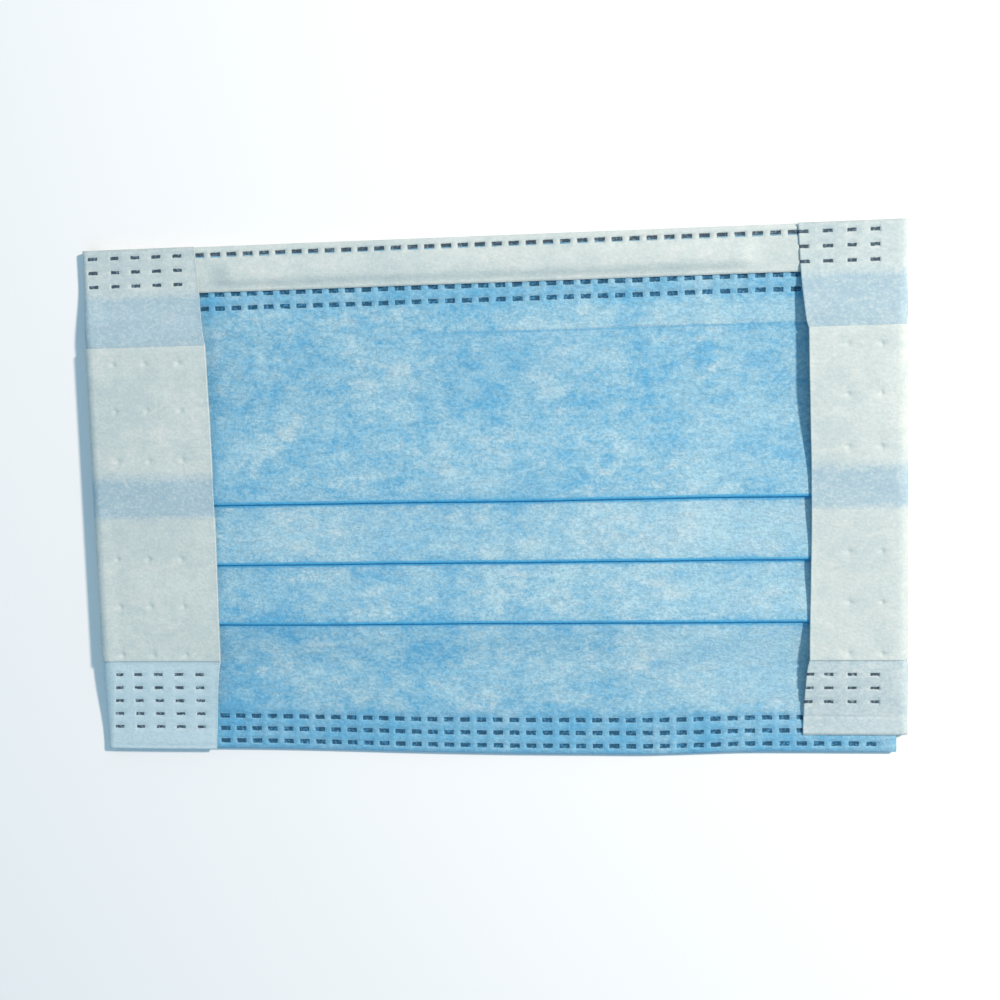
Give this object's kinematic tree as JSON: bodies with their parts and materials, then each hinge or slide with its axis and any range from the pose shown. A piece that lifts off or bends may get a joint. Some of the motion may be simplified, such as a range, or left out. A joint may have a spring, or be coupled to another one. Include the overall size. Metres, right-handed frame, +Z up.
{
  "type": "surgical face mask",
  "caption": "Pleated flat-folded surgical face mask with a blue face, a white nose binding over a pinch wire and white box-pleated panels over both ends.",
  "frame": {"origin": "on the surface that the mask lies on, under the middle of its box", "axes": "+X along the mask, +Y to the nose edge, +Z up, away from the surface, on the blue face"},
  "size_m": [0.152, 0.096, 0.0088],
  "materials": {
    "blue_laminate": "matt spunbond nonwoven, mottled pale blue",
    "white_nonwoven": "matt spunbond nonwoven, cool white, slightly see-through in one layer",
    "wire": "flat soft wire, satin, inside the nose binding"
  },
  "bodies": {
    "root": {"pleated_body": "blue_laminate", "top_binding": "white_nonwoven", "nose_wire": "wire", "side_panel_left": "white_nonwoven", "side_panel_right": "white_nonwoven"}
  },
  "joints": []
}
